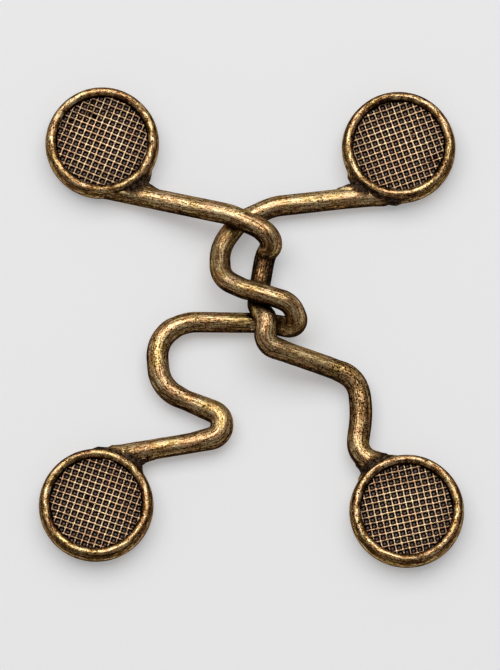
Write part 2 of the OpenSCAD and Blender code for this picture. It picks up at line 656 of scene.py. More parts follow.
@dataclass
class Pad:
    """A round pad: flat foot, bulging side, rim bead and a recess for its waffle disc.

    Attributes:
        waffle: node of the disc that it holds, whose box gives the pad's place and floor.
        seed: picks its own dents and grain.
        rubbed_from: angle on the bead, up from its outermost line, where the rubbing starts.
        outer: radius of the widest line of the bulge.
        height: height of the rim.
        bulge: radius of the bulge's section.
        bulge_height: height of the middle of that section.
        bead: radius of the bead's section.
        bead_trim: how far the bead overhangs the recess before the recess is cut.
        recess: radius of the recess.
        disc_lift: gap between the recess's floor and the disc.
        around: points in each ring.
        hub_rings: radius of the first ring of the foot and of the last ring of the floor.
        counts: points along the foot, bulge, bead, wall and floor.
        slow_depth: depth of slow hollows along the rim.
        nick_depth: depth of nicks, for a full unit of noise.
        nick_level: level of the noise above which it is a nick.
        hollow_pace: how quickly the hollows change round the pad and up it.
        nick_pace: how quickly the nicks change round it, up it and outwards.
        grain_pace: how quickly the grain changes round it and across it, and what part of
            the latter the radius has.
        dented_from: height above the foot at which hollows and nicks have come in.
        wear: how the finish is rubbed.
        centre: place of the pad's axis.
        floor: height of the recess's floor.
    """

    waffle: str
    seed: int
    rubbed_from: float
    outer: float = 7.6
    height: float = 3.7
    bulge: float = 1.6
    bulge_height: float = 1.5
    bead: float = 0.62
    bead_trim: float = 0.05
    recess: float = 6.15
    disc_lift: float = 0.02
    around: int = 288
    hub_rings: tuple[float, float] = (0.4, 0.3)
    counts: tuple[int, int, int, int, int] = (12, 30, 34, 7, 9)
    slow_depth: float = 0.025
    nick_depth: float = 0.03
    nick_level: float = 0.55
    hollow_pace: tuple[float, float] = (5.0, 1.2)
    nick_pace: tuple[float, float, float] = (22.0, 3.0, 2.0)
    grain_pace: tuple[float, float, float] = (7.0, 4.5, 0.8)
    dented_from: float = 0.25
    wear: PadWear = PadWear()
    centre: np.ndarray = field(init=False)
    floor: float = field(init=False)

    def __post_init__(self) -> None:
        """Reads the place of the pad from the disc's box."""
        low, high = (np.array(corner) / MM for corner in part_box(self.waffle))
        self.centre = (low[:2] + high[:2]) / 2.0
        self.floor = low[2] - self.disc_lift

    @property
    def bead_centre(self) -> tuple[float, float]:
        """Radius and height of the middle of the bead's section."""
        return self.recess - self.bead_trim + self.bead, self.height - self.bead

    @property
    def bulge_centre(self) -> tuple[float, float]:
        """Radius and height of the middle of the bulge's section."""
        return self.outer - self.bulge, self.bulge_height

    def profile(self) -> np.ndarray:
        """Outline of half a section, from the axis at the foot round to the axis in the recess.

        Returns:
            Rows of radius and height, shape (n, 2), with both ends left off the axis.
        """
        bulge, bead = np.array(self.bulge_centre), np.array(self.bead_centre)
        foot_angle = -math.degrees(math.asin(bulge[1] / self.bulge))
        foot = bulge[0] + self.bulge * math.cos(math.radians(foot_angle))
        # The two circles meet where their distances to the joining line agree
        span = bead - bulge
        reach = np.linalg.norm(span)
        part = (self.bulge ** 2 - self.bead ** 2 + reach ** 2) / (2.0 * reach)
        half = math.sqrt(self.bulge ** 2 - part ** 2)
        out = np.array([span[1], -span[0]]) / reach
        meet = bulge + span / reach * part + out * half
        wall_angle = 180.0 - math.degrees(math.acos((bead[0] - self.recess) / self.bead))
        wall = bead[1] + self.bead * math.sin(math.radians(wall_angle))
        on_foot, on_bulge, on_bead, on_wall, on_floor = self.counts
        first, last = self.hub_rings
        rows = np.concatenate([
            line((first, 0.0), (foot, 0.0), on_foot),
            arc(bulge, self.bulge, foot_angle, heading(meet - bulge), on_bulge)[:-1],
            arc(bead, self.bead, heading(meet - bead), wall_angle, on_bead),
            line((self.recess, wall), (self.recess, self.floor), on_wall)[1:],
            line((self.recess, self.floor), (last, self.floor), on_floor),
        ])
        return self.soften(rows)

    @staticmethod
    def soften(rows: np.ndarray) -> np.ndarray:
        """Rounds the corners: twice, each inner point moves to a quarter, half, quarter mean.

        Args:
            rows: radius and height of each point.

        Returns:
            Rows of the same shape, with the first and the last one as they were.
        """
        for _ in range(2):
            mean = 0.25 * rows[:-2] + 0.5 * rows[1:-1] + 0.25 * rows[2:]
            rows = np.concatenate([rows[:1], mean, rows[-1:]])
        return rows

    def surface(self) -> Skin:
        """Skin of the pad: its profile turned about the upright axis.

        Returns:
            Vertices (n, 3), quads and triangles.
        """
        rows = self.profile()
        slope = unit(np.gradient(rows, axis=0))
        out = np.stack([slope[:, 1], -slope[:, 0]], axis=-1)
        q = np.linspace(0.0, 2.0 * np.pi, self.around, endpoint=False)
        flat = np.stack([np.cos(q), np.sin(q)], axis=-1)
        radius = np.repeat(rows[:, :1], self.around, axis=1)
        height = np.repeat(rows[:, 1:], self.around, axis=1)
        depth = self.unevenness(radius, height, q)
        radius = radius - depth * out[:, :1]
        height = np.maximum(height - depth * out[:, 1:], 0.0)
        skin = np.concatenate([radius[..., None] * flat[None], height[..., None]], axis=-1)
        skin[..., :2] += self.centre
        return close_rings(skin, [*self.centre, 0.0], [*self.centre, rows[-1, 1]])

    def unevenness(self, radius: np.ndarray, height: np.ndarray, q: np.ndarray) -> np.ndarray:
        """Depth of dents and worn flats, which run along the rim.

        Args:
            radius: distance from the axis.
            height: height above the foot.
            q: angle round the axis.

        Returns:
            Depths of the same shape, nowhere below zero and nothing on the flat foot.
        """
        turned = np.broadcast_to(q, radius.shape)
        pace, up = self.hollow_pace
        slow = layered_noise(round_axis(pace, turned, height * up), self.seed)
        pace, up, out = self.nick_pace
        nicks = round_axis(pace, turned, height * up + radius * out)
        quick = layered_noise(nicks, self.seed + 11)
        depth = (self.slow_depth * slow
                 + self.nick_depth * np.clip(quick - self.nick_level, 0.0, 1.0))
        return depth * between(height, 0.0, self.dented_from)

    def polar(self, places: np.ndarray) -> tuple[np.ndarray, np.ndarray, np.ndarray]:
        """Distance from the axis, height and angle of each place."""
        flat = places[:, :2] - self.centre
        return np.linalg.norm(flat, axis=1), places[:, 2], np.arctan2(flat[:, 1], flat[:, 0])

    def gap(self, places: np.ndarray) -> np.ndarray:
        """Distance from each place to the outside of the pad.

        Args:
            places: points in millimetres, shape (n, 3).

        Returns:
            Distances, below zero within the pad.
        """
        r, z, _ = self.polar(places)
        to_bulge = np.hypot(np.maximum(r - self.bulge_centre[0], 0.0),
                            z - self.bulge_centre[1]) - self.bulge
        to_bead = np.hypot(r - self.bead_centre[0], z - self.bead_centre[1]) - self.bead
        return np.minimum(to_bulge, to_bead)

    def grain(self, places: np.ndarray) -> np.ndarray:
        """Grain of the metal, which runs round the pad: slow round it, quick across it.

        Args:
            places: vertices in millimetres.

        Returns:
            Vectors, shape (n, 3), for the noise of the finish.
        """
        r, z, q = self.polar(places)
        pace, across, outward = self.grain_pace
        return round_axis(pace, q, across * (z - outward * r) + self.seed)

    def rub(self, places: np.ndarray) -> np.ndarray:
        """Wear of a pad: bright along the bead, dark in the groove and the recess, with a
        thin worn line on the shoulder of the bulge.

        Args:
            places: vertices in millimetres.

        Returns:
            Numbers from 0, dark, to 1, bare.
        """
        wear = self.wear
        r, z, _ = self.polar(places)
        bead_r, bead_z = self.bead_centre
        tilt = np.degrees(np.arctan2(z - bead_z, r - bead_r))
        ridge = between(tilt, self.rubbed_from,
                        wear.ridge_at + wear.ridge_follows * self.rubbed_from)
        for loss, first, last in wear.inward:
            ridge = ridge - loss * between(tilt, first, last)
        on_bead = np.hypot(r - bead_r, z - bead_z) < self.bead + wear.bead_margin
        bulge_r, bulge_z = self.bulge_centre
        slope = np.degrees(np.arctan2(z - bulge_z, r - bulge_r))
        shoulder = np.exp(-((slope - wear.shoulder_at) / wear.shoulder_width) ** 2)
        side = wear.side + wear.shoulder * shoulder
        under = wear.under * between(-slope, *wear.under_at)
        rub = np.where(on_bead & (r > self.recess - SLACK), wear.bead + wear.ridge * ridge,
                       np.maximum(side, under))
        # Half a millimetre tells the recess from the foot
        in_recess = (r < self.recess + SLACK) & (z > 0.5) & (z < bead_z)
        wall = wear.wall * between(z, self.floor + wear.wall_from, bead_z)
        return np.where(in_recess, wall, rub)


# Hooks

class Fillet(NamedTuple):
    """A corner filled with solder: its place, and its share of the solder's full reach."""

    x: float
    y: float
    share: float


# The part's source has a ball of solder in each of these corners, apart from the last two
# of the right hook, which are small and are here alone
LEFT_FILLETS = (Fillet(-14.24, 19.46, 1.20), Fillet(17.16, -18.59, 0.72),
                Fillet(15.46, -19.55, 0.80))
RIGHT_FILLETS = (Fillet(13.30, 18.92, 1.05), Fillet(-14.69, -17.68, 1.0),
                 Fillet(-18.95, -16.85, 0.42), Fillet(17.90, 16.75, 0.36))


@dataclass
class Solder:
    """Solder that has run into the corners between a wire and its pads.

    Both skins swell towards each other by (k - gap)^2 / 4k, where k is the reach, which
    makes a hollow fillet. The reach dies away round each corner and is uneven, so the
    fillet has a torn edge. The metal round a fillet is stained.

    Attributes:
        seed: picks its own torn edge and lumps.
        fillets: the filled corners.
        reach: full reach of the solder.
        ragged: how far the reach changes from place to place, as a share.
        ragged_length: length over which it changes.
        spread: distances from a corner between which the reach dies away.
        top: height at which a fillet has ended.
        stain_top: height at which its stain has ended.
        fade: height over which both die away below their top.
        lump_height: height of the lumps on a fillet.
        lump_length: their length.
        lumped: how deep in the fillet, as a share of its reach, the lumps come in.
        stain: strength of the stain.
        stained: how deep, as a share of the reach, the stain comes in.
    """

    seed: int
    fillets: tuple[Fillet, ...]
    reach: float = 3.6
    ragged: float = 0.30
    ragged_length: float = 0.8
    spread: tuple[float, float] = (1.4, 3.4)
    top: float = 3.0
    stain_top: float = 3.9
    fade: float = 0.9
    lump_height: float = 0.17
    lump_length: float = 0.40
    lumped: tuple[float, float] = (0.15, 0.5)
    stain: float = 0.85
    stained: tuple[float, float] = (0.52, 0.88)

    def reach_at(self, places: np.ndarray, top: float) -> np.ndarray:
        """Reach of the solder at each place.

        Args:
            places: points in millimetres.
            top: height at which the reach has died away.

        Returns:
            Lengths in millimetres, nowhere quite nothing.
        """
        uneven = layered_noise(places / self.ragged_length, self.seed, 3)
        wide = self.reach * (1.0 + self.ragged * (2.0 * uneven - 1.0))
        corners = np.array([[fillet.x, fillet.y] for fillet in self.fillets])
        away = np.linalg.norm(places[:, None, :2] - corners[None], axis=-1)
        share = np.array([fillet.share for fillet in self.fillets])[away.argmin(axis=1)]
        wide = wide * share * (1.0 - between(away.min(axis=1), *self.spread))
        return wide * (1.0 - between(places[:, 2], top - self.fade, top)) + TINY

    def swell(self, places: np.ndarray, gap: np.ndarray) -> np.ndarray:
        """Height of the fillet on each place.

        Args:
            places: points on one skin.
            gap: distance from each to the other skin.

        Returns:
            Heights in millimetres along the skin's outward direction.
        """
        k = self.reach_at(places, self.top)
        lumps = layered_noise(places / self.lump_length, self.seed + 3) - 0.5
        lumps = self.lump_height * lumps
        close = np.clip(k - np.maximum(gap, 0.0), 0.0, None)
        return close ** 2 / (4.0 * k) + lumps * between(close / k, *self.lumped)

    def share(self, places: np.ndarray, gap: np.ndarray) -> np.ndarray:
        """How far each place is stained by solder, from 0 to 1, also just above a fillet."""
        k = self.reach_at(places, self.stain_top)
        return self.stain * between(1.0 - np.maximum(gap, 0.0) / k, *self.stained)


# Besides wear, this holds painted shade near the other wire and a painted highlight that leans
# towards the picture's top
@dataclass(frozen=True)
class WireWearAndPaintedLight:
    """Wear of the dark finish on a wire, from 0, dark, to 1, bare.

    Attributes:
        side: wear along the wire's sides.
        crown: how much more its top and its underside have.
        full_lean: lean at which they have all of it.
        tilt: how far the bright band leans towards the picture's top, where the key light is: a
            painted highlight.
        drift: size of slow changes from place to place.
        drift_length: length over which they come and go.
        painted_shade: painted shade, a loss of wear where the other wire is close.
        painted_shade_reach: distance from the other wire at which that painted shade has ended.
        low: loss where the wire lies low in the twist.
    """

    side: float = 0.25
    crown: float = 0.42
    full_lean: float = 0.95
    tilt: float = 0.12
    drift: float = 0.16
    drift_length: float = 4.0
    painted_shade: float = 0.75
    painted_shade_reach: float = 0.9
    low: float = 0.30


@dataclass
class Hook:
    """One half of the clasp: a wire and the two pads soldered to its ends.

    Attributes:
        name: the node that it stands for.
        wire: its wire.
        pads: the pads at the wire's first and last end.
        solder: the solder between them.
        other: centre line of the other half's wire, near which this one gets painted shade.
        lies_low: the stretch that lies low in the twist, which is made darker.
        pitted: the stretch whose finish is pitted.
        wear: how the wire's finish is rubbed, with its painted shade and painted highlight.
        grain_along: how quickly the grain changes along the wire.
        grain_across: how quickly it changes across it.
        foot_gap: height that the wire's skin keeps above the table.
        sink: how far below the recess's floor the wire's skin is held, and how far past
            the recess's wall that reaches.
        swell_past: how far outside its recess a pad's skin starts to swell with solder.
        pitted_reach: how far from the wire's skin the pitting reaches.
    """

    name: str
    wire: Wire
    pads: tuple[Pad, Pad]
    solder: Solder
    other: CentreLine
    lies_low: Stretch
    pitted: Stretch = Stretch(0.0, 0.0, 3.0, 1.5)
    wear: WireWearAndPaintedLight = WireWearAndPaintedLight()
    grain_along: float = 1.1
    grain_across: float = 6.4
    foot_gap: float = 0.03
    sink: tuple[float, float] = (0.08, 0.2)
    swell_past: float = 0.25
    pitted_reach: float = 0.5

    def build(self) -> bpy.types.Object:
        """Makes the hook as one closed shell and stores what its finish reads.

        Returns:
            The finished object, in metres.
        """
        shells = [new_object(f"{self.name}_dressed", *self.wire_skin())]
        for pad in self.pads:
            shells.append(new_object(f"{pad.waffle}_seat", *self.pad_skin(pad)))
        hook = fuse(shells)
        places = places_of(hook.data)
        self.mark(hook.data, places)
        set_places(hook.data, places * MM)
        return hook

    def wire_skin(self) -> Skin:
        """Skin of the wire with its fillets of solder, kept out of the recesses.

        Returns:
            Vertices (n, 3), quads and triangles.
        """
        places, quads, caps = self.wire.surface()
        found, _ = self.wire.path.nearest(places)
        apart = places - self.wire.path.points[found]
        out = apart / np.maximum(np.linalg.norm(apart, axis=1, keepdims=True), TINY)
        depth, past = self.sink
        for pad in self.pads:
            places = places + out * self.solder.swell(places, pad.gap(places))[:, None]
            r, z, _ = pad.polar(places)
            under = pad.floor - depth
            places[(r < pad.recess + past) & (z > under), 2] = under
        places[:, 2] = np.maximum(places[:, 2], self.foot_gap)
        return places, quads, caps

    def pad_skin(self, pad: Pad) -> Skin:
        """Skin of a pad, whose side swells outwards where solder has run against it.

        Args:
            pad: the pad.

        Returns:
            Vertices (n, 3), quads and triangles.
        """
        places, quads, caps = pad.surface()
        r, z, q = pad.polar(places)
        side = (r > pad.recess + self.swell_past) & (z > SLACK)
        path = self.wire.path
        found, far = path.nearest(places)
        swell = np.where(side, self.solder.swell(places, far - path.radii[found]), 0.0)
        places[:, 0] += swell * np.cos(q)
        places[:, 1] += swell * np.sin(q)
        return places, quads, caps

    def mark(self, mesh: bpy.types.Mesh, places: np.ndarray) -> None:
        """Works out, for each vertex, the grain, the wear with the wire's painted shade and
        painted highlight, the solder and the pitting.

        Args:
            mesh: mesh of the fused hook.
            places: its vertices in millimetres.
        """
        path = self.wire.path
        found, far = path.nearest(places)
        way = path.along[found]
        to_wire = far - path.radii[found]
        side, up = path.frames()
        apart = places - path.points[found]
        across = (apart * side[found]).sum(1)
        above = (apart * up[found]).sum(1)
        # Tipped towards the picture's top, where the key light is: this lean paints a highlight
        # into the wear
        lean = above + self.wear.tilt * apart[:, 1]
        lean = lean / np.maximum(np.linalg.norm(apart, axis=1), TINY)
        grain = np.column_stack([way * self.grain_along, across * self.grain_across,
                                 above * self.grain_across])
        rub = self.wire_wear_and_painted_light(places, lean, way)
        solder = np.zeros(len(places))
        for pad in self.pads:
            gap = pad.gap(places)
            on_pad = gap < to_wire - SLACK
            grain[on_pad] = pad.grain(places)[on_pad]
            rub[on_pad] = pad.rub(places)[on_pad]
            to_other_skin = np.where(on_pad, to_wire, gap)
            solder = np.maximum(solder, self.solder.share(places, to_other_skin))
        set_mark(mesh, Mark.GRAIN, grain)
        set_mark(mesh, Mark.RUB, np.clip(rub, 0.0, 1.0))
        set_mark(mesh, Mark.SOLDER, solder)
        set_mark(mesh, Mark.PITTED, self.pitted.share(way) * (to_wire < self.pitted_reach))

    def wire_wear_and_painted_light(self, places: np.ndarray, lean: np.ndarray, way: np.ndarray) -> np.ndarray:
        """Wear of the dark finish on the wire: bright above and below, dark along the sides,
        darker near the other wire, which is painted shade, and along the stretch that lies low in
        the twist; the bright band leans towards the picture's top, which is a painted highlight.

        Args:
            places: vertices in millimetres.
            lean: how far each faces the rubbing from above, from -1 to 1, tipped a little
                towards the picture's top, where the key light is, which makes a painted
                highlight.
            way: distance of each along the wire.

        Returns:
            Numbers from 0, dark, to 1, bare.
        """
        wear = self.wear
        drift = layered_noise(places / wear.drift_length, self.wire.seed + 21)
        rub = wear.side + wear.crown * between(np.abs(lean), 0.0, wear.full_lean)
        found, far = self.other.nearest(places)
        # Darker close to the other wire: painted shade between the wires
        painted_shade = 1.0 - between(far - self.other.radii[found], 0.0, wear.painted_shade_reach)
        return (rub + wear.drift * (drift - 0.5) - wear.painted_shade * painted_shade
                - wear.low * self.lies_low.share(way))

    def dress(self, hook: bpy.types.Object, finish: bpy.types.Material) -> None:
        """Gives the hook its finish and its place in the part.

        Args:
            hook: the finished object.
            finish: the rubbed brass.
        """
        hook.data.materials.clear()
        hook.data.materials.append(finish)
        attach(hook, BODY)
        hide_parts(self.name)


# Waffle discs

class Flaw(NamedTuple):
    """A damaged patch of a waffle: its place from the disc's centre and its radius."""

    x: float
    y: float
    radius: float


@dataclass
class Waffle:
    """A stamped disc with two crossing sets of low ribs.

    The surface is a height over a grid that follows the ribs. The grid is warped a little,
    so that the ribs wander, and its edge is drawn onto the disc's circle.

    Attributes:
        name: the node that it stands for, whose box gives the disc's place and size.
        turn: angle by which the ribs are turned, in degrees.
        shift_along: shift of the ribs that run along.
        shift_across: shift of the ribs that run across.
        seed: picks its own irregularities.
        flaws: damaged patches.
        pitch: distance from one rib to the next.
        rib_width: width of a rib.
        rib_height: height of a rib above its plate.
        wander: how far the ribs wander to either side.
        wander_length: length over which they do.
        height_spread: share by which pieces of rib differ in height.
        flaw_loss: share of its height that a weak piece of rib loses in a damaged patch.
        crossing: height of a crossing, as a share, and what a damaged patch takes off it.
        dome: height of the low dome on a pocket's floor.
        lump: height of the lump in a filled pocket.
        grit: roughness of the floors.
        grit_loss: depth of the grit all over.
        grit_length: length of the grit.
        filled: levels of its hashed number between which a pocket is filled.
        flaw_fills: what a damaged patch adds to that number.
        shoulder: distances from a rib's line, in half widths, between which it falls away.
        edge_ragged: how far the ends of the ribs differ.
        edge_fall: how far past the disc's circle the ribs start and end to fall away.
        lump_span: where a lump starts and is full, from a rib's line, 0, to the middle of
            the pocket, 1.
        floor_span: the same for the middle of the floor.
        rib_top: wear of a rib's top, as a share of a crossing's.
        lump_top: wear of a lump, as a share of a crossing's.
        rub_middle: wear at the disc's middle.
        rub_loss: what the wear loses towards the disc's edge.
        rub_drift: size of slow changes of the wear.
        centre: place of the disc's axis.
        low: height of its underside.
        high: height of its highest point.
        radius: its radius.
    """

    name: str
    turn: float
    shift_along: float
    shift_across: float
    seed: int
    flaws: tuple[Flaw, ...] = ()
    pitch: float = 0.87
    rib_width: float = 0.28
    rib_height: float = 0.35
    wander: float = 0.035
    wander_length: float = 1.3
    height_spread: float = 0.14
    flaw_loss: float = 0.40
    crossing: tuple[float, float] = (0.97, 0.3)
    dome: float = 0.07
    lump: float = 0.24
    grit: float = 0.07
    grit_loss: float = 0.035
    grit_length: float = 0.22
    filled: tuple[float, float] = (0.955, 1.15)
    flaw_fills: float = 0.8
    shoulder: tuple[float, float] = (0.60, 1.40)
    edge_ragged: float = 0.22
    edge_fall: tuple[float, float] = (0.04, 0.20)
    lump_span: tuple[float, float] = (0.20, 0.75)
    floor_span: tuple[float, float] = (0.50, 0.95)
    rib_top: float = 0.82
    lump_top: float = 0.85
    rub_middle: float = 0.96
    rub_loss: float = 0.26
    rub_drift: float = 0.16
    centre: np.ndarray = field(init=False)
    low: float = field(init=False)
    high: float = field(init=False)
    radius: float = field(init=False)

    def __post_init__(self) -> None:
        """Reads the disc's place and size from its node's box."""
        low, high = (np.array(corner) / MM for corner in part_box(self.name))
        self.centre = (low[:2] + high[:2]) / 2.0
        self.radius = (high[0] - low[0]) / 2.0
        self.low, self.high = low[2], high[2]

    def rows(self, shift: float) -> tuple[np.ndarray, np.ndarray]:
        """Grid lines across one set of ribs, closer together at the sides of a rib.

        Args:
            shift: how far the set of ribs is shifted.

        Returns:
            Places across the ribs, and the same in units of the pitch from a rib.
        """
        half = self.rib_width / 2.0 / self.pitch
        on_rib = np.array([-0.5, -0.3, 0.0, 0.3, 0.5]) * 2.0 * half
        rest = np.array([0.06, 0.17, 0.34, 0.5, 0.66, 0.83, 0.94])
        pocket = half + (1.0 - 2.0 * half) * rest
        cell = np.concatenate([on_rib, pocket])
        reach = int(self.radius / self.pitch) + 2
        steps = (np.arange(-reach, reach + 1)[:, None] + cell[None]).ravel()
        return steps * self.pitch + shift, steps

    def grid(self) -> tuple[np.ndarray, np.ndarray, np.ndarray]:
        """Grid that follows the ribs, with the wander of the ribs.

        Returns:
            x and y from the disc's centre, and the place of each point in units of the
            pitch, shape (rows, columns, 2).
        """
        u_line, u_step = self.rows(-self.shift_across)
        v_line, v_step = self.rows(self.shift_along)
        u, v = np.meshgrid(u_line, v_line, indexing="ij")
        steps = np.stack(np.meshgrid(u_step, v_step, indexing="ij"), axis=-1)
        spot = np.stack([u, v, np.zeros_like(u)], axis=-1) / self.wander_length
        u = u + self.wander * 2.0 * (layered_noise(spot, self.seed) - 0.5)
        v = v + self.wander * 2.0 * (layered_noise(spot, self.seed + 5) - 0.5)
        a = math.radians(self.turn)
        return u * math.cos(a) - v * math.sin(a), u * math.sin(a) + v * math.cos(a), steps

    def build(self) -> bpy.types.Object:
        """Makes the disc as a closed mesh and stores what its finish reads.

        Returns:
            The finished object, in metres.
        """
        x, y, steps = self.grid()
        height, top, floor_middle = self.relief(x, y, steps)
        far = np.hypot(x, y)
        held = np.minimum(1.0, self.radius / np.maximum(far, TINY))
        places = np.stack([x * held, y * held, height], axis=-1).reshape(-1, 3)
        quads, kept = self.trim(far <= self.radius)
        places, wall, base = self.close(places[kept], quads)
        bare = np.zeros(len(places) - len(kept))
        rub = self.rub(places, np.append(top.ravel()[kept], bare))
        # The middles of the pockets' floors get painted light
        dust = np.append(floor_middle.ravel()[kept], bare)
        places[:, :2] += self.centre
        disc = new_object(f"{self.name}_pressed", places * MM, quads, wall, base)
        grain = np.column_stack([places[:, :2] * 3.0, places[:, 2] * 3.0 + self.seed])
        set_mark(disc.data, Mark.GRAIN, grain)
        set_mark(disc.data, Mark.RUB, rub)
        set_mark(disc.data, Mark.POCKET_LIGHT, dust)
        return disc

    def drawn(self, i: np.ndarray, j: np.ndarray, salt: int, seed: int) -> np.ndarray:
        """Hashed number of each cell of the ribs' grid.

        Args:
            i: number of the cell's row.
            j: number of its column.
            salt: keeps the rows of one kind of cell apart from another's.
            seed: picks another set of numbers.

        Returns:
            Numbers from 0 to 1, of the same shape.
        """
        cell = np.stack([i, j, np.full(i.shape, self.seed + salt)], axis=-1)
        return lattice_value(cell.astype(np.int64), seed)

    def relief(self, x: np.ndarray, y: np.ndarray,
               steps: np.ndarray) -> tuple[np.ndarray, np.ndarray, np.ndarray]:
        """Height of the pressed surface over the grid.

        A rib is a round-shouldered bump over its line. Each piece of rib between two
        crossings has its own height, and the ribs stop short of the disc's edge. A pocket's
        floor is a low dome, and a few pockets are partly filled with metal.

        Args:
            x: places from the disc's centre.
            y: places from the disc's centre.
            steps: the same in units of the pitch, shape (rows, columns, 2).

        Returns:
            Heights, how far each place is rib top (0 to 1), and how far it is the middle of
            a pocket's floor (0 to 1).
        """
        near, piece = np.round(steps), np.floor(steps)
        off = np.abs(steps - near) * self.pitch
        half = self.rib_width / 2.0
        bump = 1.0 - between(off, half * self.shoulder[0], half * self.shoulder[1])
        strength = np.stack([self.drawn(near[..., 0], piece[..., 1], 0, 3),
                             self.drawn(piece[..., 0], near[..., 1], 50, 4)], axis=-1)
        ragged = self.edge_ragged * self.drawn(near[..., 0], near[..., 1], 9, 6)
        start, end = self.edge_fall
        edge = 1.0 - between(np.hypot(x, y) + ragged, self.radius + start, self.radius + end)
        worn = self.damage(x, y)
        rise = 1.0 - self.height_spread * strength
        weak = worn[..., None] * between(strength, 0.45, 0.8)
        rise = rise * (1.0 - self.flaw_loss * weak)
        standing = (rise * edge[..., None]).clip(0.0, 1.0)
        ribs = (bump * standing).max(axis=-1)
        crossing = bump.prod(axis=-1) * edge
        full, loss = self.crossing
        ribs = np.maximum(ribs, crossing * (full - loss * worn))
        x_in, y_in = np.moveaxis(off / (self.pitch / 2.0), -1, 0)
        pocket = self.drawn(piece[..., 0], piece[..., 1], 90, 8) + self.flaw_fills * worn
        lump = (between(pocket, *self.filled) * between(x_in, *self.lump_span)
                * between(y_in, *self.lump_span))
        floor_middle = between(x_in, *self.floor_span) * between(y_in, *self.floor_span) * edge
        floor_middle = floor_middle * (1.0 - lump)
        grit = layered_noise(np.stack([x, y, ribs], axis=-1) / self.grit_length, self.seed + 31)
        low_relief = self.dome * floor_middle + self.lump * lump + self.grit * (grit - 0.5)
        relief = np.maximum(ribs * self.rib_height, low_relief) - self.grit_loss * grit
        height = np.minimum(self.high - self.rib_height + relief, self.high)
        top = (between(bump, 0.30, 0.95) * between(standing, 0.3, 0.7)).max(axis=-1)
        top = np.maximum(top * self.rib_top, crossing)
        top = np.maximum(top, self.lump_top * lump * between(grit, 0.4, 0.65))
        return height, top, floor_middle

    def damage(self, x: np.ndarray, y: np.ndarray) -> np.ndarray:
        """How far each place lies in a damaged patch.

        Args:
            x: places from the disc's centre.
            y: places from the disc's centre.

        Returns:
            Numbers from 0 to 1.
        """
        worn = np.zeros_like(x)
        for flaw in self.flaws:
            far = np.hypot(x - flaw.x, y - flaw.y)
            worn = np.maximum(worn, 1.0 - between(far, flaw.radius * 0.5, flaw.radius))
        return worn

    @staticmethod
    def trim(inside: np.ndarray) -> tuple[np.ndarray, np.ndarray]:
        """Keeps the grid's quads that have a corner inside the disc.

        Args:
            inside: whether each grid point lies in the disc, shape (rows, columns).

        Returns:
            Quads with new indices, and the old indices of the kept points.
        """
        rows, columns = inside.shape
        i, j = np.meshgrid(np.arange(rows - 1), np.arange(columns - 1), indexing="ij")
        a = (i * columns + j).ravel()
        quads = np.stack([a, a + columns, a + columns + 1, a + 1], axis=-1)
        quads = quads[inside.ravel()[quads].any(axis=1)]
        kept, renamed = np.unique(quads, return_inverse=True)
        return renamed.reshape(quads.shape), kept

    def close(self, places: np.ndarray, quads: np.ndarray) -> Skin:
        """Adds the disc's edge wall and its underside.

        Args:
            places: vertices of the pressed side.
            quads: its faces.

        Returns:
            All vertices, the quads of the wall and the triangles of the underside.
        """
        edges = np.stack([quads, np.roll(quads, -1, axis=1)], axis=-1).reshape(-1, 2)
        key = np.sort(edges, axis=1) @ np.array([len(places), 1])
        _, first, count = np.unique(key, return_index=True, return_counts=True)
        rim = edges[first[count == 1]]
        corners = np.unique(rim)
        below = np.full(len(places), -1)
        below[corners] = len(places) + np.arange(len(corners))
        foot = places[corners].copy()
        foot[:, 2] = self.low
        hub = len(places) + len(corners)
        a, b = rim[:, 0], rim[:, 1]
        wall = np.stack([b, a, below[a], below[b]], axis=-1)
        base = np.stack([below[b], below[a], np.full(len(rim), hub)], axis=-1)
        return np.concatenate([places, foot, [[0.0, 0.0, self.low]]]), wall, base

    def rub(self, places: np.ndarray, top: np.ndarray) -> np.ndarray:
        """Wear of the ribs' tops, which is strongest in the middle of the disc.

        Args:
            places: vertices from the disc's centre.
            top: how far each is rib top.

        Returns:
            Numbers from 0, dark, to 1, bare.
        """
        out = np.hypot(places[:, 0], places[:, 1]) / self.radius
        drift = layered_noise(places / 2.2, self.seed + 40)
        strength = (self.rub_middle - self.rub_loss * between(out, 0.35, 1.0)
                    + self.rub_drift * (drift - 0.5))
        return np.clip(top * strength, 0.0, 1.0)

    def dress(self, disc: bpy.types.Object, finish: bpy.types.Material) -> None:
        """Gives the disc its finish and its place in the part.

        Args:
            disc: the finished object.
            finish: the waffle's brass.
        """
        disc.data.materials.append(finish)
        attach(disc, BODY)
        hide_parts(self.name)


# Node trees

Socket = bpy.types.NodeSocket
Value = bpy.types.NodeSocket | float | Colour


class Kind(Enum):
    """Kinds of socket of a node group."""

    NUMBER = "NodeSocketFloat"
    VECTOR = "NodeSocketVector"
    COLOUR = "NodeSocketColor"


class Blend(Enum):
    """Ways to mix two colours."""

    PLAIN = "MIX"
    TINT = "MULTIPLY"


def srgb(red: int, green: int, blue: int) -> Colour:
    """Colour as painters give it, turned into the linear values of a shader.

    Args:
        red: 0 to 255.
        green: 0 to 255.
        blue: 0 to 255.

    Returns:
        The opaque colour.
    """
    share = np.array([red, green, blue]) / 255.0
    light = np.where(share <= 0.04045, share / 12.92, ((share + 0.055) / 1.055) ** 2.4)
    return (*(float(v) for v in light), 1.0)


